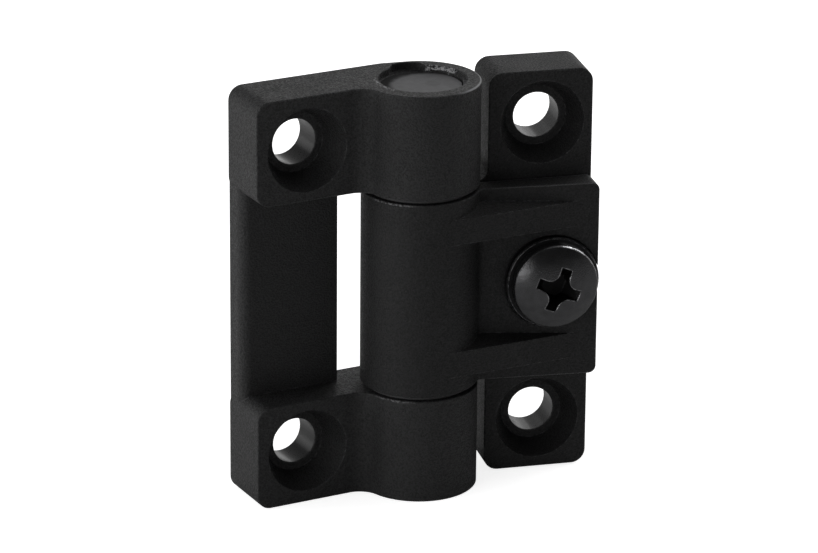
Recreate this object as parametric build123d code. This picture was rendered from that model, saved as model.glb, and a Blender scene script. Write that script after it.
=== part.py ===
"""An adjustable torque hinge for panels and doors.

A C-shaped yoke leaf holds a steel pin in its two end knuckles. The other leaf wraps a split band round the
middle of the pin, and the band ends in a jaw that lies over the leaf. A screw through the jaw pulls the band
tight on the pin, which sets the torque that the hinge holds by friction.

The yoke leaf sets the frame: Z runs up along the pin, X points from the yoke leaf towards the clamp leaf, and
Y points from the screw's side to the surface that the leaves are mounted on. Each piece is drawn about the
pin's axis at mid-height, the clamp leaf's pieces open flat. They are then swung to the resting angle, and the
whole hinge is set down with its origin on the mounting plane, midway between the yoke leaf's two holes.
"""
import math
import os

from build123d import *

# Whole hinge
hinge_height = 50.0
pin_axis_to_mount = 7.45  # from the pin's axis to the plane both leaves are screwed to
barrel_diameter = 13.9
rest_angle = -13.9  # swing of the clamp leaf from flat, about +Z, in degrees

# Yoke leaf
yoke_reach = 21.15  # pin axis to the leaf's free edge
yoke_thickness = 7.6
knuckle_length = 12.6
yoke_hole_reach = 14.7  # pin axis to the mounting holes
throat_radius = 2.5  # hollow curve where an arm's front meets its knuckle
web_thickness = 3.1
web_side_step = 0.15  # the web's outer side lies this far inside the arms' ends
web_edge_radius = 1.2
web_gap = 1.62  # clear gap between the web's inner edge and the barrel
heel_length = 1.5  # from the pin's axis to where a leaf's flat back turns into the barrel
heel_radius = 3.0

# Clamp leaf
clamp_reach = 20.78
clamp_thickness = 6.95
clamp_end_step = 0.15  # the clamp leaf ends this far short of the yoke leaf, above and below
clamp_hole_reach = 14.7
pad_gap = 1.3  # clear gap between a clamp pad's inner side and the yoke's knuckle
pad_root_radius = 1.2
seam_gap = 0.5  # between the band and each of the yoke's knuckles
slit_width = 0.6  # between the jaw and the leaf behind it
jaw_thickness = 2.35  # where the jaw leaves the barrel
jaw_taper = 3.2  # how much the jaw's front leans out towards its end, in degrees
jaw_corner_radius = 0.9
jaw_root_radius = 1.1

# Gusset ribs between the barrel and the jaw
rib_height = 3.1
rib_inset = 3.7  # from the band's end to the rib's centre line
rib_end_margin = 2.6  # from the rib's tip to the jaw's end
rib_draft = 12.0  # slope of the rib's two sides, in degrees

# Recessed mounting holes, for M5 screws
hole_end_margin = 6.45  # from a yoke arm's end to the hole's centre
screw_hole_diameter = 5.5
recess_diameter = 10.1
recess_floor_diameter = 7.3
seat_thickness = 4.05  # what the mounting screw's head bears on

# Pin and its bores
pin_diameter = 9.9
pin_end_depth = 0.7  # each pin end lies this far inside its knuckle
pin_flat_distance = 4.68  # pin axis to the flat that stops the pin from turning in the yoke
pin_flat_angle = -28.0
pin_flat_clearance = 0.12
pin_chamfer = 0.25
knuckle_bore_clearance = 0.03
band_bore_clearance = 0.05
mouth_diameter = 10.3  # the wider mouth above the D-shaped bore
mouth_shift = 0.3  # of the mouth's centre from the pin's axis
mouth_shift_angle = 10.0  # which way it lies off the axis, in degrees from +X
mouth_depth = 0.2  # from the knuckle's end to where the mouth starts to narrow
mouth_bevel_depth = 0.3  # over which it narrows to the bore
mouth_bevel_width = 0.5
chip_depth = 0.9  # of the moulded lip that is broken away beside the pin's upper end
chip_outline = (  # turn about the pin's axis in degrees, and the share of the knuckle's wall that is gone
    (56, 0.1),
    (59, 0.34),
    (63, 0.55),
    (68, 0.7),
    (77, 0.79),
    (88, 0.81),
    (95, 0.7),
    (101, 0.45),
    (107, 0.17),
    (118, 0.14),
    (128, 0.11),
    (137, 0.06),
    (150, 0.05),
)

# Thrust washers in the two seams
thrust_washer_diameter = 12.6
thrust_washer_bore_clearance = 0.15
thrust_face_clearance = 0.03

# Adjusting screw, M5, with its washer and nut
adjuster_reach = 15.25  # pin axis to the screw's axis
adjuster_diameter = 5.0
adjuster_hole_clearance = 0.25
adjuster_end_depth = 0.8  # the screw's end lies this far inside the nut's back face
adjuster_point = 0.5
head_diameter = 10.15
head_height = 2.95
head_side_height = 1.35
head_shoulder = 0.12
cross_span = 5.9
cross_arm_width = 1.3
cross_throat_radius = 1.25  # hollow curves between the cross's arms
cross_depth = 2.8
cross_bottom_span = 2.6
cross_angle = 22.1  # turn of the cross, clockwise as seen from the front, in degrees
washer_diameter = 11.2
washer_thickness = 1.0
washer_bore_clearance = 0.2
spotface_clearance = 0.15
spotface_depth = 0.05  # at the edge nearest the pin, where it is shallowest
nut_across_flats = 8.0
nut_thickness = 4.0
nut_pocket_clearance = 0.08
nut_set_back = 0.25  # of the nut behind the mounting plane
thread_clearance = 0.06

# Edges
corner_radius = 1.7  # corners of the pads, seen from the front
edge_break = 0.1  # along the leaves' edges
fine_edge_break = 0.06  # at the seams and along the jaw
ring_edge_share = 0.15  # chamfer of a ring's outer edges, as a share of its thickness
sharp_turn = 15.0  # faces that turn by more than this, in degrees, meet at a sharp edge

# Worked out from the sizes above
barrel_radius = barrel_diameter / 2
pin_radius = pin_diameter / 2
half_height = hinge_height / 2
hole_z = half_height - hole_end_margin
arm_inner_z = half_height - knuckle_length
half_band = arm_inner_z - seam_gap
rib_z = half_band - rib_inset
pin_end_z = half_height - pin_end_depth
yoke_front_y = pin_axis_to_mount - yoke_thickness
clamp_front_y = pin_axis_to_mount - clamp_thickness
pad_inner_x = barrel_radius + pad_gap
jaw_back_y = clamp_front_y - slit_width
jaw_root_y = jaw_back_y - jaw_thickness
jaw_root_x = math.sqrt(barrel_radius**2 - jaw_root_y**2)
spotface_radius = washer_diameter / 2 + spotface_clearance
nut_seat_y = pin_axis_to_mount - nut_set_back - nut_thickness
far = 3 * hinge_height  # longer than anything here, for cutting tools
touching = 0.01  # lengths closer than this count as equal when an edge is looked up


def jaw_front_y(x):
    """Front face of the jaw at a distance x from the pin's axis."""
    return jaw_root_y - (x - jaw_root_x) * math.tan(math.radians(jaw_taper))


washer_seat_y = jaw_front_y(adjuster_reach - spotface_radius) + spotface_depth
head_seat_y = washer_seat_y - washer_thickness


def tangent_point(x, y, radius, side):
    """Where a line from (x, y) touches a circle round the origin; side is +1 or -1 for the two such lines."""
    angle = math.atan2(y, x) + side * math.acos(radius / math.hypot(x, y))
    return radius * math.cos(angle), radius * math.sin(angle)


def slab(face, low_z, high_z):
    """A flat profile in XY, drawn up from low_z to high_z."""
    return extrude(Pos(0, 0, low_z) * face, high_z - low_z)


def front_slab(face, low_y, high_y):
    """A flat profile drawn as seen from the front, X by Z, carried back from low_y to high_y."""
    return extrude(Pos(0, high_y, 0) * Rot(90, 0, 0) * face, high_y - low_y)


def block(x, y, z):
    """A block given by its low and high values along X, Y and Z."""
    spans = (x, y, z)
    centre = [(low + high) / 2 for low, high in spans]
    return Pos(*centre) * Box(*(high - low for low, high in spans))


def facing_back(x, y, z):
    """A place at (x, y, z) whose own +Z points along +Y, away from the viewer."""
    return Pos(x, y, z) * Rot(-90, 0, 0)


def facing_front(x, y, z):
    """A place at (x, y, z) whose own +Z points along -Y, towards the viewer."""
    return Pos(x, y, z) * Rot(90, 0, 0)


def sharp_edges(solid):
    """Edges where two faces meet at a corner and not on a tangent."""
    faces = solid.faces()

    def is_sharp(edge):
        middle = edge @ 0.5
        normals = [face.normal_at(middle) for face in faces if edge in face.edges()]
        return len(normals) == 2 and normals[0].get_angle(normals[1]) > sharp_turn

    return solid.edges().filter_by(is_sharp)


def edges_near(solid, direction, x=None, y=None, z=None):
    """Straight edges along an axis whose middle lies at the values given; the others are left open."""

    def matches(edge):
        middle = edge.center()
        pairs = ((x, middle.X), (y, middle.Y), (z, middle.Z))
        return all(wanted is None or abs(wanted - found) < touching for wanted, found in pairs)

    return solid.edges().filter_by(direction).filter_by(matches)


def ring(outer, inner, low_z, high_z):
    """A plain ring about the Z axis, with its outer edges just broken."""
    body = slab(Circle(outer), low_z, high_z)
    body = chamfer(body.edges().filter_by(GeomType.CIRCLE), ring_edge_share * (high_z - low_z))
    return body - Cylinder(inner, far)


def recessed_hole(x, z, front_y):
    """The tool for a mounting hole: a tapered recess from the front and a plain hole through its floor."""
    floor_y = pin_axis_to_mount - seat_thickness
    depth = floor_y - front_y
    taper = Cone(recess_diameter / 2, recess_floor_diameter / 2, depth)
    recess = facing_back(x, front_y + depth / 2, z) * taper
    hole = facing_back(x, 0, z) * Cylinder(screw_hole_diameter / 2, far)
    return recess + hole


def yoke_arm():
    """The upper arm with its knuckle: a pad that runs in a hollow curve into the barrel."""
    heel = tangent_point(-heel_length, pin_axis_to_mount, barrel_radius, -1)
    outline = Polyline(
        (-yoke_reach, yoke_front_y),
        (-yoke_reach, pin_axis_to_mount),
        (-heel_length, pin_axis_to_mount),
        heel,
        (0, 0),
        (0, yoke_front_y),
        close=True,
    )
    arm = slab(make_face(outline) + Circle(barrel_radius), arm_inner_z, half_height)
    throat_x = -math.sqrt(barrel_radius**2 - yoke_front_y**2)
    arm = fillet(edges_near(arm, Axis.Z, x=throat_x, y=yoke_front_y), throat_radius)
    arm = fillet(edges_near(arm, Axis.Z, x=-heel_length, y=pin_axis_to_mount), heel_radius)
    arm = fillet(edges_near(arm, Axis.Y, x=-yoke_reach), corner_radius)
    return chamfer(sharp_edges(arm), edge_break)


def chipped_lip(bore_radius):
    """The tool for the broken lip: an uneven patch behind and left of the pin's upper end."""
    wall = barrel_radius - bore_radius
    corners = [(0, 0)]
    for turn, share in chip_outline:
        distance = bore_radius + share * wall
        corners.append((distance * math.cos(math.radians(turn)), distance * math.sin(math.radians(turn))))
    return slab(make_face(Polyline(*corners, close=True)), half_height - chip_depth, far)


def bore_mouth():
    """The tool for the upper bore's mouth, set a little off the bore: round and wide, then narrowing."""
    radius = mouth_diameter / 2
    narrow_z = half_height - mouth_depth
    bevel = Cone(radius - mouth_bevel_width, radius, mouth_bevel_depth)
    mouth = Pos(0, 0, narrow_z - mouth_bevel_depth / 2) * bevel + slab(Circle(radius), narrow_z, far)
    return Rot(0, 0, mouth_shift_angle) * Pos(mouth_shift, 0, 0) * mouth


def flat_land(radius):
    """What fills the knuckle's bore beyond the pin's flat, up to the bottom of the bore's mouth."""
    land = block(
        (pin_flat_distance + pin_flat_clearance, 2 * radius),
        (-radius, radius),
        (arm_inner_z, half_height - mouth_depth - mouth_bevel_depth),
    )
    return Rot(0, 0, pin_flat_angle) * land & Cylinder(radius, far)


def yoke_leaf():
    """The C-shaped leaf: two arms with knuckles, joined by a thin web set back between them."""
    arm = yoke_arm()
    web_x = (-yoke_reach + web_side_step, -barrel_radius - web_gap)
    web_y = (pin_axis_to_mount - web_thickness, pin_axis_to_mount)
    web = block(web_x, web_y, (-arm_inner_z - corner_radius, arm_inner_z + corner_radius))
    web = fillet(edges_near(web, Axis.Z, x=web_x[0], y=web_y[0]), web_edge_radius)
    web = chamfer(edges_near(web, Axis.Z, x=web_x[1]), fine_edge_break)
    leaf = arm + mirror(arm, Plane.XY) + web
    for z in (-hole_z, hole_z):
        leaf -= recessed_hole(-yoke_hole_reach, z, yoke_front_y)
    bore_radius = pin_radius + knuckle_bore_clearance
    leaf -= Cylinder(bore_radius, far)
    leaf -= bore_mouth()
    leaf -= chipped_lip(bore_radius)
    return leaf + flat_land(bore_radius)


def clamp_plan():
    """The clamp leaf's middle seen along the pin: the band's outside, the leaf behind it and the jaw."""
    heel = tangent_point(heel_length, pin_axis_to_mount, barrel_radius, 1)
    outline = Polyline(
        (0, jaw_root_y),
        (jaw_root_x, jaw_root_y),
        (clamp_reach, jaw_front_y(clamp_reach)),
        (clamp_reach, pin_axis_to_mount),
        (heel_length, pin_axis_to_mount),
        heel,
        (0, 0),
        close=True,
    )
    return Circle(barrel_radius) + make_face(outline)


def clamp_middle():
    """The band and the jaw in one piece with the leaf behind them, before the slit parts them."""
    middle = slab(clamp_plan(), -half_band, half_band)
    middle = fillet(edges_near(middle, Axis.Z, x=jaw_root_x, y=jaw_root_y), jaw_root_radius)
    middle = fillet(edges_near(middle, Axis.Z, x=heel_length, y=pin_axis_to_mount), heel_radius)
    middle = fillet(edges_near(middle, Axis.Y, x=clamp_reach), jaw_corner_radius)
    return chamfer(sharp_edges(middle), fine_edge_break)


def clamp_pads():
    """The two mounting pads and the leaf between them, as one plate with a notch for each yoke knuckle."""
    pad_height = 2 * (half_height - clamp_end_step)
    pads = Pos((pad_inner_x + clamp_reach) / 2, 0) * Rectangle(clamp_reach - pad_inner_x, pad_height)
    pads = fillet(pads.vertices(), corner_radius)
    middle_x = (barrel_radius + clamp_reach) / 2
    between = Pos(middle_x, 0) * Rectangle(clamp_reach - barrel_radius, 2 * half_band)
    outline = pads + between
    roots = outline.vertices().filter_by(
        lambda corner: abs(corner.X - pad_inner_x) < touching and abs(abs(corner.Y) - half_band) < touching
    )
    plate = front_slab(fillet(roots, pad_root_radius), clamp_front_y, pin_axis_to_mount)
    rims = sharp_edges(plate).filter_by(lambda edge: edge.center().X > barrel_radius + edge_break)
    return chamfer(rims, edge_break)


def gusset_rib():
    """A drafted wedge that leaves the barrel on a tangent and runs out on the jaw's front."""
    tip_x = clamp_reach - rib_end_margin
    tip_y = jaw_front_y(tip_x)
    start_x, start_y = tangent_point(tip_x, tip_y, barrel_radius, -1)
    root_y = jaw_back_y - jaw_thickness / 2

    def section(x, front_y):
        """The rib cut across at x: narrow at its front, wider at its root inside the jaw."""
        half_front = rib_height / 2
        half_root = half_front + (root_y - front_y) * math.tan(math.radians(rib_draft))
        corners = Polyline(
            (x, front_y, -half_front),
            (x, front_y, half_front),
            (x, root_y, half_root),
            (x, root_y, -half_root),
            close=True,
        )
        return make_face(corners)

    return loft([section(start_x, start_y), section(tip_x, tip_y)], ruled=True)


def clamp_leaf():
    """The leaf with the split band and the screwed jaw, drawn open flat."""
    leaf = clamp_middle() + clamp_pads()
    for z in (-rib_z, rib_z):
        leaf += Pos(0, 0, z) * gusset_rib()
    for z in (-hole_z, hole_z):
        leaf -= recessed_hole(clamp_hole_reach, z, clamp_front_y)
    leaf -= block((0, far), (jaw_back_y, clamp_front_y), (-far, far))
    leaf -= Cylinder(pin_radius + band_bore_clearance, far)
    leaf -= facing_front(adjuster_reach, washer_seat_y, 0) * slab(Circle(spotface_radius), 0, far)
    leaf -= facing_back(adjuster_reach, 0, 0) * Cylinder(adjuster_diameter / 2 + adjuster_hole_clearance, far)
    pocket = slab(hexagon(nut_across_flats + 2 * nut_pocket_clearance), 0, far)
    return leaf - facing_back(adjuster_reach, nut_seat_y, 0) * pocket


def hinge_pin():
    """The steel pin, with a flat on its upper end that keeps it from turning in the yoke."""
    pin = slab(Circle(pin_radius), -pin_end_z, pin_end_z)
    pin = chamfer(pin.edges().filter_by(GeomType.CIRCLE), pin_chamfer)
    flat = block((pin_flat_distance, far), (-far, far), (arm_inner_z - seam_gap / 2, far))
    return pin - Rot(0, 0, pin_flat_angle) * flat


def thrust_washer(low_z, high_z):
    """A thin ring that fills one seam between the band and a knuckle."""
    outer = thrust_washer_diameter / 2
    bore = pin_radius + thrust_washer_bore_clearance
    return ring(outer, bore, low_z + thrust_face_clearance, high_z - thrust_face_clearance)


def hexagon(across_flats):
    """A hexagon with two flats square to X."""
    return Rot(0, 0, 30) * RegularPolygon(across_flats / 2, 6, major_radius=False)


def cross_recess():
    """The tool for the head's cross recess: crossed slots with hollow corners, whose ends slope inwards."""
    bottom_z = head_height - cross_depth
    top_z = head_height + head_side_height  # somewhere above the head
    top_span = cross_bottom_span + (cross_span - cross_bottom_span) * (top_z - bottom_z) / cross_depth
    arms = Rectangle(top_span, cross_arm_width) + Rectangle(cross_arm_width, top_span)
    throats = arms.vertices().sort_by_distance((0, 0, 0))[:4]
    straight = slab(fillet(throats, cross_throat_radius), bottom_z, top_z)
    low = Pos(0, 0, bottom_z) * Rectangle(cross_bottom_span, cross_bottom_span)
    high = Pos(0, 0, top_z) * Rectangle(top_span, top_span)
    return Rot(0, 0, -cross_angle) * (straight & loft([low, high], ruled=True))


def adjusting_screw():
    """The pan-head screw, drawn with its head up and the underside of the head at zero height."""
    length = nut_seat_y + nut_thickness - adjuster_end_depth - head_seat_y
    shank_radius = adjuster_diameter / 2
    head_radius = head_diameter / 2
    dome_height = head_height - head_side_height
    dome_radius = (head_radius**2 + dome_height**2) / (2 * dome_height)
    half_way_x = head_radius / 2
    half_way_y = head_height - dome_radius + math.sqrt(dome_radius**2 - half_way_x**2)
    outline = Polyline(
        (0, head_height),
        (0, -length),
        (shank_radius - adjuster_point, -length),
        (shank_radius, -length + adjuster_point),
        (shank_radius, 0),
        (head_radius, 0),
        (head_radius, head_side_height),
    )
    dome = ThreePointArc((head_radius, head_side_height), (half_way_x, half_way_y), (0, head_height))
    screw = revolve(Plane.XZ * make_face([*outline.edges(), dome]), Axis.Z)
    circles = screw.edges().filter_by(GeomType.CIRCLE)
    rims = circles.filter_by(lambda edge: abs(edge.radius - head_radius) < touching)
    screw = chamfer(rims.sort_by(Axis.Z)[-1], head_shoulder)
    return screw - cross_recess()


def clamp_nut():
    """The captive hexagon nut, drawn on its bearing face."""
    nut = slab(hexagon(nut_across_flats), 0, nut_thickness)
    round_off = Cone(nut_across_flats / 2 + nut_thickness, nut_across_flats / 2, nut_thickness)
    nut &= Pos(0, 0, nut_thickness / 2) * round_off
    return nut - Cylinder(adjuster_diameter / 2 + thread_clearance, far)


def build():
    """Every piece by name, in the frame of the finished hinge."""
    swing = Rot(0, 0, rest_angle)
    washer_bore = adjuster_diameter / 2 + washer_bore_clearance
    pieces = {
        "yoke_leaf": yoke_leaf(),
        "clamp_leaf": swing * clamp_leaf(),
        "hinge_pin": hinge_pin(),
        "thrust_washer_upper": thrust_washer(half_band, arm_inner_z),
        "thrust_washer_lower": thrust_washer(-arm_inner_z, -half_band),
        "adjusting_screw": swing * facing_front(adjuster_reach, head_seat_y, 0) * adjusting_screw(),
        "screw_washer": swing
        * facing_front(adjuster_reach, washer_seat_y, 0)
        * ring(washer_diameter / 2, washer_bore, 0, washer_thickness),
        "clamp_nut": swing * facing_back(adjuster_reach, nut_seat_y, 0) * clamp_nut(),
    }
    to_holes = Pos(yoke_hole_reach, -pin_axis_to_mount, 0)
    return {name: to_holes * piece for name, piece in pieces.items()}


os.makedirs("parts", exist_ok=True)
for name, piece in build().items():
    piece.label = name
    export_step(piece, os.path.join("parts", name + ".step"))
    print(name, "solids", len(piece.solids()), "valid", piece.is_valid, "volume", round(piece.volume, 1))
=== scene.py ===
# %% [markdown]
# # A torque hinge
#
# This hinge joins a door or a lid to its frame and holds it at any angle. The left leaf is a yoke whose
# two knuckles carry a steel pin. The right leaf wraps a split band round the middle of that pin, and a
# screw through the band's jaw pulls it tight, so friction holds the door where it is left.
#
# The solids are already drawn and measured, down to the broken lip at the top of the barrel. What is
# left for Blender is how they look: black plastic filled with glass fibre, blackened steel, the marks
# that use has left on both, the highlights and shade painted into their colour, and the light they are
# seen in.

# %% Load the solids
import math

import bpy
from mathutils import Matrix, Vector


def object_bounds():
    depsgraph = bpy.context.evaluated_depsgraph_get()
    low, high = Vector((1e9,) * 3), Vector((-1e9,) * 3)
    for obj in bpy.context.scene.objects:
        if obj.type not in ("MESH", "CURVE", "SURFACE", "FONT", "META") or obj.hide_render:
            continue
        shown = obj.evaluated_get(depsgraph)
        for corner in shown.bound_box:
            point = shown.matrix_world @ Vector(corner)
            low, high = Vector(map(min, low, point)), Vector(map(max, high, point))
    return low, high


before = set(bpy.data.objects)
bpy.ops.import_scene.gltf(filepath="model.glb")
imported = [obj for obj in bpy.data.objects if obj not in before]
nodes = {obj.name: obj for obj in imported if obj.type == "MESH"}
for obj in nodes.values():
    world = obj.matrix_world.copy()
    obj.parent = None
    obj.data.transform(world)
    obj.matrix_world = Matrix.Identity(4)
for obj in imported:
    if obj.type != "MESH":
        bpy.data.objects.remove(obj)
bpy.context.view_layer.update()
mm = 0.001
print("pieces:", ", ".join(sorted(nodes)))

# %% [markdown]
# ## Writing a finish as arithmetic
#
# A finish in Blender is a graph of nodes. Wiring each Math node by hand hides the idea, so this class
# wraps one output of a node and lets Python's own operators add the Math nodes: `1 - wear * 0.5` reads
# as it works. The two soft steps at its end make the patches where something is worn or torn, or where
# shade or a highlight is painted.

# %% Wires that do arithmetic
class Wire:
    """One output socket. Arithmetic on it adds Math nodes to the finish it belongs to."""

    def __init__(self, finish, socket):
        self.finish = finish
        self.socket = socket

    def maths(self, operation, *values, clamp=False):
        return self.finish.node("ShaderNodeMath", {"operation": operation, "use_clamp": clamp}, values)

    def __add__(self, other):
        return self.maths("ADD", self, other)

    def __radd__(self, other):
        return self.maths("ADD", other, self)

    def __sub__(self, other):
        return self.maths("SUBTRACT", self, other)

    def __rsub__(self, other):
        return self.maths("SUBTRACT", other, self)

    def __mul__(self, other):
        return self.maths("MULTIPLY", self, other)

    def __rmul__(self, other):
        return self.maths("MULTIPLY", other, self)

    def __pow__(self, other):
        return self.maths("POWER", self, other)

    def __abs__(self):
        return self.maths("ABSOLUTE", self)

    def clamped(self):
        return self.maths("ADD", self, 0, clamp=True)

    def between(self, low, high):
        """0 where the value is low or less, 1 where it is high or more, with a soft step between."""
        settings = {"interpolation_type": "SMOOTHSTEP"}
        inputs = {"Value": self, "From Min": low, "From Max": high}
        return self.finish.node("ShaderNodeMapRange", settings, inputs)

    def within(self, low, high, rise, fall=None):
        """A patch: it rises from 0 to 1 just after low, and falls back to 0 just after high."""
        return self.between(low, low + rise) * (1 - self.between(high, high + (fall or rise)))


print("wires add, subtract, multiply and step")

# %% [markdown]
# ## Building one finish
#
# Every other node comes from one method, which sets what the node is first and then fills or links its
# sockets. The short methods after it name what this hinge's finishes are made of: the place of a point,
# noise with lumps of a known size, and edges that catch the light. The clamp leaf stands at an angle
# here, so `square_on` turns a place back about the pin. In those coordinates the leaf is square, as it
# was drawn, and a patch on it can be given by plain x, y and z.

# %% The helper for finishes
pin_place = (14.7 * mm, -7.45 * mm, 0)


class Finish:
    """A material under construction, ending in one Principled shader."""

    def __init__(self, name, **constants):
        self.material = bpy.data.materials.new(name)
        self.material.use_nodes = True
        self.tree = self.material.node_tree
        self.shader = self.tree.nodes["Principled BSDF"]
        self.skin(**constants)

    def node(self, kind, settings=None, inputs=(), output=0):
        made = self.tree.nodes.new(kind)
        for name, value in (settings or {}).items():
            setattr(made, name, value)
        pairs = inputs.items() if isinstance(inputs, dict) else enumerate(inputs)
        for key, value in pairs:
            self.feed(made.inputs[key], value)
        return Wire(self, made.outputs[output])

    def feed(self, socket, value):
        if isinstance(value, Wire):
            self.tree.links.new(value.socket, socket)
        else:
            socket.default_value = value

    def skin(self, **sockets):
        """Links a wire or sets a value on the shader's own sockets."""
        for name, value in sockets.items():
            self.feed(self.shader.inputs[name.replace("_", " ")], value)

    def place(self):
        """Where a point lies, in metres, in the frame of the solids."""
        return self.node("ShaderNodeTexCoord", output="Object")

    def axis(self, letter):
        """One coordinate of that place."""
        return self.node("ShaderNodeSeparateXYZ", {}, (self.place(),), output=letter)

    def square_on(self, turn):
        """The three coordinates of a place after a turn in degrees about the pin."""
        turned = self.node(
            "ShaderNodeVectorRotate",
            {"rotation_type": "Z_AXIS"},
            {"Vector": self.place(), "Center": pin_place, "Angle": math.radians(turn)},
        )
        return [self.node("ShaderNodeSeparateXYZ", {}, (turned,), output=letter) for letter in "XYZ"]

    def noise(self, size_mm, detail=2, roughness=0.5):
        """Cloudy noise whose lumps are about this large."""
        scale = 1 / (size_mm * mm)
        inputs = {"Vector": self.place(), "Scale": scale, "Detail": detail, "Roughness": roughness}
        return self.node("ShaderNodeTexNoise", {}, inputs)

    def mix(self, factor, low, high):
        """A colour that goes from low to high with the factor."""
        return self.node("ShaderNodeMix", {"data_type": "RGBA"}, {0: factor, 6: low, 7: high}, output=2)

    def eased(self, reach_mm):
        """The direction that the surface faces, with its edges rounded over the given reach."""
        return self.node("ShaderNodeBevel", {"samples": 6}, {"Radius": reach_mm * mm})

    def edge_mask(self, eased):
        """0 on a face, rising near an edge, where the eased direction parts from the true one."""
        true = self.node("ShaderNodeNewGeometry", output="True Normal")
        settings = {"operation": "DOT_PRODUCT"}
        return 1 - self.node("ShaderNodeVectorMath", settings, (eased, true), output="Value")

    def bump(self, height, depth_mm, eased):
        """The eased direction again, tilted by the slopes of a height."""
        inputs = {"Height": height, "Distance": depth_mm * mm, "Normal": eased}
        return self.node("ShaderNodeBump", {}, inputs)


print("finish helper ready, with the pin at", pin_place)

# %% [markdown]
# ## Marks on the barrel
#
# The lip round the upper mouth has broken, and the torn plastic there is nearly white, with a painted
# highlight on its back wall as well. The barrel's rims stand out furthest, so they are rubbed where they
# knock against things, and their paler tone is that wear and a painted highlight together. Painting such
# marks by hand would need an image. Here each one is a product of soft steps in the distance and the turn
# about an upright axis, and noise makes its edge ragged.

# %% Torn lip and rims, with painted highlights
mouth_place = (15.0 * mm, -7.4 * mm)
lip_bottom = 24.2 * mm
barrel_skin = (6.72 * mm, 6.86 * mm)


def grey(value):
    """A grey with the faint blue of black plastic and oiled steel."""
    return (value, value, 1.03 * value, 1)


def distance_from(x, y, centre):
    """How far a place is from a centre, by two of its coordinates."""
    return ((x - centre[0]) ** 2 + (y - centre[1]) ** 2) ** 0.5


def turn_about(x, y, centre):
    """The turn of a place about a centre in radians, 0 towards the first coordinate's axis."""
    return x.maths("ARCTAN2", y - centre[1], x - centre[0])


def torn_lip_and_highlight(finish):
    """1 in ragged patches round the mouth: a strip at its back right, whitened torn plastic with a
    painted highlight, and white flecks at its left.
    """
    x, y, z = finish.square_on(0)
    turn = turn_about(x, y, mouth_place)
    out = distance_from(x, y, mouth_place) + (finish.noise(0.6, detail=4) - 0.5) * 0.5 * mm
    # The strip is whitened torn plastic and a painted highlight on the lit back wall; the flecks are
    # white chips.
    strip = out.within(4.72 * mm, 5.1 * mm, rise=0.1 * mm) * turn.within(0.2, 1.0, rise=0.1)
    flecks = out.within(5.3 * mm, 5.75 * mm, rise=0.1 * mm) * abs(turn).between(2.6, 2.75)
    flecks = flecks * finish.noise(0.35, detail=3).between(0.5, 0.6)
    fibres = finish.noise(0.22, detail=3).between(0.38, 0.56)
    return ((strip * fibres + 0.6 * flecks) * z.between(lip_bottom, lip_bottom + 0.15 * mm)).clamped()


def rim_wear_and_highlight(finish, square_turn, low, high, start, stop):
    """1 on a stretch of the barrel's skin, between two heights in mm and two turns about the pin: wear
    and a painted highlight.
    """
    x, y, z = finish.square_on(square_turn)
    on_skin = distance_from(x, y, pin_place).between(*barrel_skin)
    level = z.within(low * mm, high * mm, rise=0.1 * mm)
    return on_skin * level * turn_about(x, y, pin_place).within(start, stop, rise=0.5, fall=0.4)


def ragged(finish):
    """Small patches that break up a stretch of wear and painted highlight."""
    return finish.noise(0.25, detail=3).between(0.42, 0.62)


print("mouth at", mouth_place, "and the barrel's skin from", barrel_skin[0], "m out")

# %% [markdown]
# ## What marks each leaf
#
# A mark is a paler tone laid over the leaf's own, and most are wear and a painted highlight together.
# On the yoke the top rim is pale along its front right, the lower knuckle's rim only in places at its
# left, and the lip is torn. On the clamp the jaw stands forward, so the edges of its two sides are
# scuffed and given a painted highlight, as are those at the leaf's far end, and the band's upper rim is
# pale a little at its left. Keeping the marks apart from the plastic lets both leaves share one finish.

# %% Marks for the two leaves
clamp_turn = 13.9
jaw_edge, jaw_top = 11.4 * mm, 12.0 * mm
jaw_root, jaw_front = 16 * mm, 33 * mm
leaf_end = 35.2 * mm


def yoke_marks(finish, tone, _):
    """The yoke's tone with its two rims paled by wear and a painted highlight, and its torn lip."""
    # Both rims are paler by wear and a painted highlight together.
    top_rim = rim_wear_and_highlight(finish, 0, low=24.8, high=26, start=-1.5, stop=-0.1)
    lower_rim = rim_wear_and_highlight(finish, 0, low=-12.65, high=-12, start=-3.0, stop=-2.4)
    tone = finish.mix(top_rim, tone, grey(0.3))
    tone = finish.mix(lower_rim * ragged(finish), tone, grey(0.15))
    return finish.mix(torn_lip_and_highlight(finish), tone, grey(0.42))


def clamp_marks(finish, tone, at_edges):
    """The clamp leaf's tone with its edges and rim paled by scuffs and a painted highlight. The third
    argument is 1 along every edge.
    """
    x, _, z = finish.square_on(clamp_turn)
    jaw_sides = abs(z).within(jaw_edge, jaw_top, rise=0.1 * mm) * x.between(jaw_root, jaw_front)
    far_end = x.between(leaf_end, leaf_end + 0.2 * mm)
    band_rim = rim_wear_and_highlight(finish, clamp_turn, low=11.65, high=13, start=-2.9, stop=-2.15)
    # The jaw's sides and far end are lighter by scuffs and a painted highlight along their edges.
    tone = finish.mix(at_edges * (jaw_sides + far_end).clamped(), tone, grey(0.2))
    return finish.mix(band_rim * ragged(finish), tone, grey(0.17))


print("clamp leaf swung by", clamp_turn, "degrees")

# %% [markdown]
# ## Black glass-filled plastic
#
# Both leaves are moulded in black polyamide with short glass fibres. Close up the skin isn't one black:
# it is matt and mottled in patches of a fifth of a millimetre, and single fibres near the surface show
# as fine specks. A bump alone is lost at this distance, so the mottling is in the tone and the
# roughness as well. The moulds leave the edges slightly round, and handling has rubbed them; their
# paler tone is that wear and a painted highlight together. Rounding every edge in the mesh would cost
# thousands of faces, so the finish bends the light there instead. Inside the screw holes the plastic is
# smooth from the mould's cores.

# %% Moulded plastic
hole_height = 18.55 * mm
hole_radius = 2.75 * mm
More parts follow.
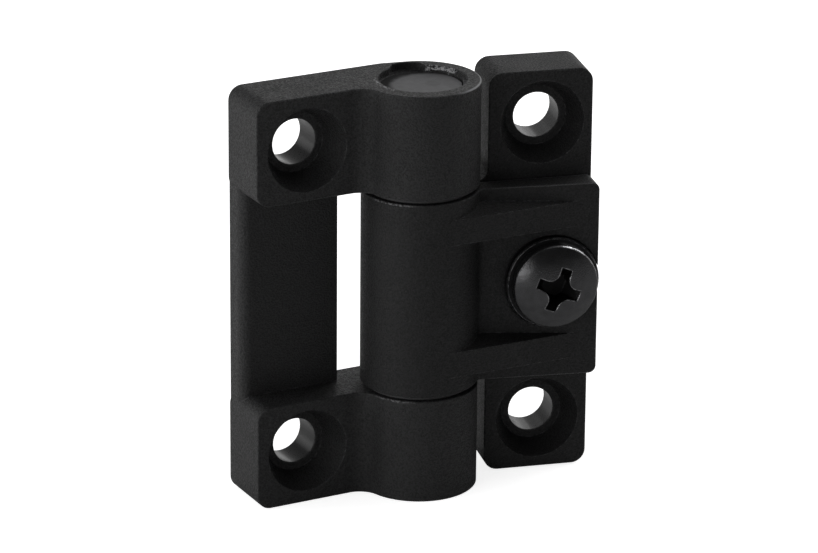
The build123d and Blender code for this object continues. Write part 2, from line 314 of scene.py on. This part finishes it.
# The edge tone is wear and a painted highlight at once.
speck_tone, edge_wear_and_highlight_tone = grey(0.025), grey(0.09)


def inside_holes(finish, turn, hole_x):
    """1 on the walls of the screw holes, which lie at hole_x once the leaf is square."""
    x, _, z = finish.square_on(turn)
    from_hole = distance_from(x, abs(z), (hole_x, hole_height))
    return 1 - from_hole.between(hole_radius + 0.1 * mm, hole_radius + 0.2 * mm)


def moulded_plastic(name, shine, darkest, uneven, turn=0, hole_x=0, marks=None):
    """The finish of one moulding. Uneven is how strongly its skin is mottled, from 0 to 1."""
    finish = Finish(name, Specular_IOR_Level=shine)
    cored = inside_holes(finish, turn, hole_x)
    clouds = finish.noise(2.6, detail=3)
    specks = finish.noise(0.16, detail=1).between(0.58, 0.78)
    mottle = finish.noise(0.22, detail=2, roughness=0.6).between(0.3, 0.7) * (1 - cored)
    eased = finish.eased(reach_mm=0.2)
    at_edges = finish.edge_mask(eased).between(0.01, 0.14)
    # Edges paler by wear and a painted highlight.
    edge_wear_and_highlight = at_edges * finish.noise(0.4, detail=3).between(0.42, 0.64)

    lightest = darkest + 0.009 * uneven
    tone = finish.mix(mottle, grey(darkest), grey(lightest))
    tone = finish.mix(specks, tone, speck_tone)
    tone = finish.mix(edge_wear_and_highlight, tone, edge_wear_and_highlight_tone)
    if marks:
        tone = marks(finish, tone, at_edges)

    matt = 0.5 + 0.14 * clouds + 0.3 * uneven * (0.5 - mottle) - 0.08 * specks
    smoothed = 1 - 0.6 * cored
    finish.skin(
        Base_Color=tone,
        Roughness=matt * smoothed,
        Normal=finish.bump(mottle, 0.05 * uneven, eased),
    )
    return finish


# The clamp leaf is darker and less shiny than the yoke: painted shade, since the lamps on the left reach
# the right leaf less.
yoke_plastic = moulded_plastic(
    "yoke_plastic", shine=0.38, darkest=0.009, uneven=1.0, marks=yoke_marks
)
clamp_plastic = moulded_plastic(
    "clamp_plastic", shine=0.3, darkest=0.007, uneven=0.8,
    turn=clamp_turn, hole_x=29.4 * mm, marks=clamp_marks,
)
# The washers' pale plastic is painted light that lifts them out of the shade in their seams.
washer_plastic = moulded_plastic("washer_plastic", shine=0.5, darkest=0.05, uneven=0.5)
print("made", yoke_plastic.material.name, clamp_plastic.material.name, washer_plastic.material.name)

# %% [markdown]
# ## Dark steel
#
# The pin, the screw and its washer are blackened steel, which is never quite even: the oil leaves clouds
# in its tone and gloss, and the edges are rubbed back to bare metal, whose paler grey is also a painted
# highlight. One finish serves them all, and the nut too, with a tone and a roughness for each piece.
# Where a piece gets painted shade or a painted highlight differs from piece to piece, so that comes in
# as a small function of its own.

# %% Blackened steel
# Bare grey is wear and a painted highlight; the polished grey is a painted highlight; the near black is
# painted shade.
bare_and_highlight_tone, painted_highlight_tone, painted_shade_tone = grey(0.4), grey(0.7), grey(0.004)


def blackened_steel(name, tone, roughness, eased_mm, metal=0.9, painted_shade=None, painted_highlight=None):
    """Steel of one tone. The last two are functions that give 1 where shade or a highlight is painted
    into the colour.
    """
    finish = Finish(name, Metallic=metal)
    clouds = finish.noise(0.9, detail=4)
    grain = finish.noise(0.15, detail=2)
    # Masks where shade and a highlight are painted into the colour.
    shade_mask = painted_shade(finish) if painted_shade else 0
    highlight_mask = painted_highlight(finish) if painted_highlight else 0
    eased = finish.eased(eased_mm)
    # Edges rubbed back to bare metal, which is also a painted highlight.
    edge_wear_and_highlight = finish.edge_mask(eased).between(0.01, 0.12) * finish.noise(0.5, detail=3).between(0.35, 0.6)

    steel = finish.mix(clouds, grey(0.65 * tone), grey(1.35 * tone))
    steel = finish.mix(edge_wear_and_highlight, steel, bare_and_highlight_tone)
    # A painted highlight where the highlight mask is 1.
    steel = finish.mix(highlight_mask, steel, painted_highlight_tone)
    finish.skin(
        Base_Color=finish.mix(shade_mask, steel, painted_shade_tone),
        Roughness=roughness + 0.12 * (clouds - 0.5) + 0.4 * shade_mask,
        Normal=finish.bump(grain, 0.03, eased),
    )
    return finish


print("steel rubs back to a grey of", bare_and_highlight_tone[0])

# %% [markdown]
# ## Painted shade and highlights on the steel
#
# The pin's sawn end is dull, with a painted shadow in the corner where it meets the wall of the mouth.
# The screw's head has a half gloss. Its cross recess is darkened with painted shade, and the upper right
# of its rim has a painted highlight. The recess is cut into a dome that is part of a ball, so whatever
# lies deeper than that ball's surface, near the screw's axis, is in the recess.

# %% Where shade and highlights are painted on the steel
screw_x = 29.95 * mm
dome_centre_y = -5.119 * mm
dome_radius = 8.849 * mm
recess_reach = 3.1 * mm
ring_place = (15.34 * mm, -8.09 * mm)
dimple_place = (16.1 * mm, -7.65 * mm)


def pin_painted_shadow(finish):
    """A painted shadow in the corner between the pin's end and the wall of the mouth, and a slight
    darkening in a shallow dimple.
    """
    x, y, _ = finish.square_on(0)
    out = distance_from(x, y, ring_place) + (finish.noise(0.9, detail=3) - 0.5) * 0.8 * mm
    # The ring is a painted shadow cast by the mouth's wall.
    ring = out.between(3.9 * mm, 5.0 * mm)
    dimple = 1 - distance_from(x, y, dimple_place).between(0.7 * mm, 1.1 * mm)
    return (0.9 * ring + 0.12 * dimple).clamped()


def recess_painted_shade(finish):
    """Painted shade in the screw's cross recess, inside the ball that the head's dome is part of."""
    x, y, z = finish.square_on(clamp_turn)
    out = distance_from(x, z, (screw_x, 0))
    from_centre = distance_from(out, y, (0, dome_centre_y))
    inside = 1 - from_centre.between(dome_radius - 0.12 * mm, dome_radius - 0.03 * mm)
    near_axis = 1 - out.between(recess_reach, recess_reach + 0.1 * mm)
    return 0.85 * inside * near_axis


def head_painted_highlight(finish):
    """A painted highlight on the upper right of the screw head's rim."""
    x, _, z = finish.square_on(clamp_turn)
    rim = distance_from(x, z, (screw_x, 0)).between(4.84 * mm, 4.94 * mm)
    return rim * turn_about(x, z, (screw_x, 0)).within(0.75, 1.3, rise=0.25, fall=0.2)


print("screw's axis at x =", screw_x, "m when the leaf is square")

# %% [markdown]
# ## The four steels
#
# The pin is the dullest, since its end is bare from the saw. The washer is almost black, and the nut
# behind the jaw is plated, so it is much paler. Only the screw's head is smooth enough to mirror the
# room. One call each, with its own numbers, makes them.

# %% Steels
# The pin's end gets a painted shadow; the screw gets painted shade in its recess and a painted highlight
# on its rim.
pin_steel = blackened_steel(
    "pin_steel", tone=0.155, roughness=0.55, eased_mm=0.15, metal=0.6, painted_shade=pin_painted_shadow
)
screw_steel = blackened_steel(
    "screw_steel", tone=0.07, roughness=0.2, eased_mm=0.25, painted_shade=recess_painted_shade, painted_highlight=head_painted_highlight
)
washer_steel = blackened_steel("washer_steel", tone=0.02, roughness=0.45, eased_mm=0.15)
nut_steel = blackened_steel("nut_steel", tone=0.4, roughness=0.3, eased_mm=0.2)
steels = (pin_steel, screw_steel, washer_steel, nut_steel)
print("made", ", ".join(steel.material.name for steel in steels))

# %% [markdown]
# ## Putting the finishes on
#
# Each solid came with a plain material in its slots. Swapping the material in the slot changes the look
# and leaves the mesh as it was drawn. The thin washers between the knuckles get a paler plastic of their
# own, though they show only as a line in each seam; the paler tone is painted light that lifts them out
# of the seam's shade.

# %% Put the finishes on
for node, finish in {
    "yoke_leaf": yoke_plastic,
    "clamp_leaf": clamp_plastic,
    "hinge_pin": pin_steel,
    "adjusting_screw": screw_steel,
    "screw_washer": washer_steel,
    "clamp_nut": nut_steel,
    "thrust_washer_upper": washer_plastic,
    "thrust_washer_lower": washer_plastic,
}.items():
    for slot in nodes[node].material_slots:
        slot.material = finish.material
    print(node, "is dressed in", finish.material.name)

# %% [markdown]
# ## The floor
#
# The hinge stands on white paper, wide enough to fill the view. Lit by the lamps alone it would come out
# grey, and more light would spoil the black. So what the camera sees of the paper glows by itself, a
# little less near the foot, where the hinge's shadow has to show, and full white further off. Gloss on
# the metal sees a faint glow too, but only from the paper behind the hinge, because the room in front
# of it is dark.

# %% Floor
base_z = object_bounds()[0].z
reach = 6.0
corners = [(x * reach, y * reach, base_z) for x, y in ((-1, -1), (1, -1), (1, 1), (-1, 1))]
floor_mesh = bpy.data.meshes.new("floor")
floor_mesh.from_pydata(corners, [], [(0, 1, 2, 3)])
floor = bpy.data.objects.new("floor", floor_mesh)
bpy.context.collection.objects.link(floor)

glow_at_foot, glow_in_gloss = 0.82, 0.1
black, white = (0, 0, 0, 1), (1, 1, 1, 1)
paper = Finish("white_paper", Roughness=0.9, Specular_IOR_Level=0.0, Emission_Strength=1.0)
camera_ray, gloss_ray, glass_ray = (
    paper.node("ShaderNodeLightPath", output=name)
    for name in ("Is Camera Ray", "Is Glossy Ray", "Is Transmission Ray")
)
away = paper.node("ShaderNodeVectorMath", {"operation": "LENGTH"}, (paper.place(),), output="Value")
seen = camera_ray * (glow_at_foot + (1 - glow_at_foot) * away.between(0.04, 0.14))
mirrored = (gloss_ray + glass_ray) * paper.axis("Y").between(0.0, 0.05) * glow_in_gloss
paper.skin(
    Base_Color=paper.mix(paper.noise(40), (0.8, 0.8, 0.8, 1), (0.82, 0.82, 0.82, 1)),
    Emission_Color=paper.mix((seen + mirrored).clamped(), black, white),
)
floor_mesh.materials.append(paper.material)
print("floor at", round(base_z, 4))

# %% [markdown]
# ## The room
#
# Black plastic looks black because most of what it mirrors is dark. The room round the hinge is bright
# low down, near the paper, and dim above, with a little light at the back. Two soft steps in the
# direction of view give that, and the brighter of the two counts.

# %% Room
world = bpy.data.worlds.new("studio")
bpy.context.scene.world = world
world.use_nodes = True
room = world.node_tree
sky = room.nodes["Background"]
sky.inputs["Color"].default_value = white
direction = room.nodes.new("ShaderNodeTexCoord")
parts = room.nodes.new("ShaderNodeSeparateXYZ")
room.links.new(direction.outputs["Generated"], parts.inputs["Vector"])


def soft_step(axis, low, high, at_low, at_high):
    """A light level that changes softly along one axis of the direction."""
    step = room.nodes.new("ShaderNodeMapRange")
    step.interpolation_type = "SMOOTHSTEP"
    for socket, value in {"From Min": low, "From Max": high, "To Min": at_low, "To Max": at_high}.items():
        step.inputs[socket].default_value = value
    room.links.new(parts.outputs[axis], step.inputs["Value"])
    return step.outputs["Result"]


towards_back = soft_step("Y", low=-0.2, high=0.5, at_low=0.05, at_high=0.2)
near_floor = soft_step("Z", low=0.1, high=0.4, at_low=0.33, at_high=0.05)
brightest = room.nodes.new("ShaderNodeMath")
brightest.operation = "MAXIMUM"
room.links.new(towards_back, brightest.inputs[0])
room.links.new(near_floor, brightest.inputs[1])
room.links.new(brightest.outputs["Value"], sky.inputs["Strength"])
print("room is brightest near the floor and dimmest in front")

# %% [markdown]
# ## The lamps
#
# Soft panels stand round the hinge on both sides and behind, and none stands straight in front, which
# keeps the fronts of the leaves dark. The panels on the left make the yoke's outer side and the barrel's
# left flank grey, and those on the right and overhead light the upper faces. They are small and weak
# because the hinge is only 50 mm tall.

# %% Lamps
middle = Vector(pin_place)


def panel(name, azimuth, elevation, distance, width, height, power):
    """A soft panel of light that faces the hinge. Azimuth 0 is in front of it and 90 to its right."""
    a, e = math.radians(azimuth), math.radians(elevation)
    away = Vector((math.sin(a) * math.cos(e), -math.cos(a) * math.cos(e), math.sin(e)))
    lamp = bpy.data.lights.new(name, "AREA")
    lamp.shape = "RECTANGLE"
    lamp.size = width
    lamp.size_y = height
    lamp.energy = power
    holder = bpy.data.objects.new(name, lamp)
    holder.location = middle + away * distance
    holder.rotation_euler = away.to_track_quat("Z", "Y").to_euler()
    bpy.context.collection.objects.link(holder)
    print(name, power, "W")


# Name, azimuth and elevation in degrees, distance, width and height in metres, power in watts.
for lamp_plan in (
    ("front_left_panel", -58, 12, 0.35, 0.1, 0.1, 0.15),
    ("left_front_panel", -80, 8, 0.35, 0.21, 0.21, 0.105),
    ("left_panel", -105, 8, 0.35, 0.21, 0.21, 0.38),
    ("left_high_panel", -105, 45, 0.7, 0.42, 0.42, 0.39),
    ("left_back_panel", -135, 8, 0.7, 0.42, 0.42, 0.5),
    ("back_panel", 165, 8, 0.7, 0.42, 0.42, 0.26),
    ("right_back_panel", 135, 8, 0.7, 0.42, 0.42, 0.4),
    ("right_panel", 102, 22, 0.7, 0.42, 0.85, 1.8),
    ("right_high_panel", 84, 54, 0.7, 0.2, 0.2, 0.35),
    ("overhead_panel", 60, 70, 0.7, 0.42, 0.42, 0.4),
):
    panel(*lamp_plan)

# %% [markdown]
# ## The camera
#
# The picture was taken from the left, a little above, through a long lens half a metre away. Guessing
# such a view by eye never quite closes, so these numbers come from fitting the hinge's edges to the
# picture: three angles, the distance, the lens, and the point it looks at.

# %% Camera
view_azimuth, view_elevation, roll = (math.radians(angle) for angle in (-27.77, 20.345, 0.476))
camera_distance = 0.5341
image_width = 818
focal_pixels = 4561.85
sensor_width = 36
aim_across, aim_up = -1.23 * mm, 0.696 * mm

level = math.cos(view_elevation)
across = Vector((math.cos(view_azimuth), math.sin(view_azimuth), 0))
back = Vector((math.sin(view_azimuth) * level, -math.cos(view_azimuth) * level, math.sin(view_elevation)))
up = back.cross(across)
right = math.cos(roll) * across + math.sin(roll) * up
top = math.cos(roll) * up - math.sin(roll) * across
aim = middle + across * aim_across + Vector((0, 0, aim_up))

camera_data = bpy.data.cameras.new("camera")
camera_data.sensor_width = sensor_width
camera_data.lens = focal_pixels * sensor_width / image_width
camera_data.clip_start = 0.01
camera = bpy.data.objects.new("camera", camera_data)
facing = Matrix((right, top, back)).transposed().to_4x4()
camera.matrix_world = Matrix.Translation(aim + back * camera_distance) @ facing
bpy.context.collection.objects.link(camera)
bpy.context.scene.camera = camera
print("camera at", [round(value, 4) for value in camera.location])

# %% [markdown]
# ## Finishing
#
# The finishes add nothing to the solids' size, so the box round everything stays the box that was
# loaded. The picture is shown through the plain Standard view.

# %% Finish
bpy.context.scene.view_settings.view_transform = "Standard"
bpy.context.view_layer.update()
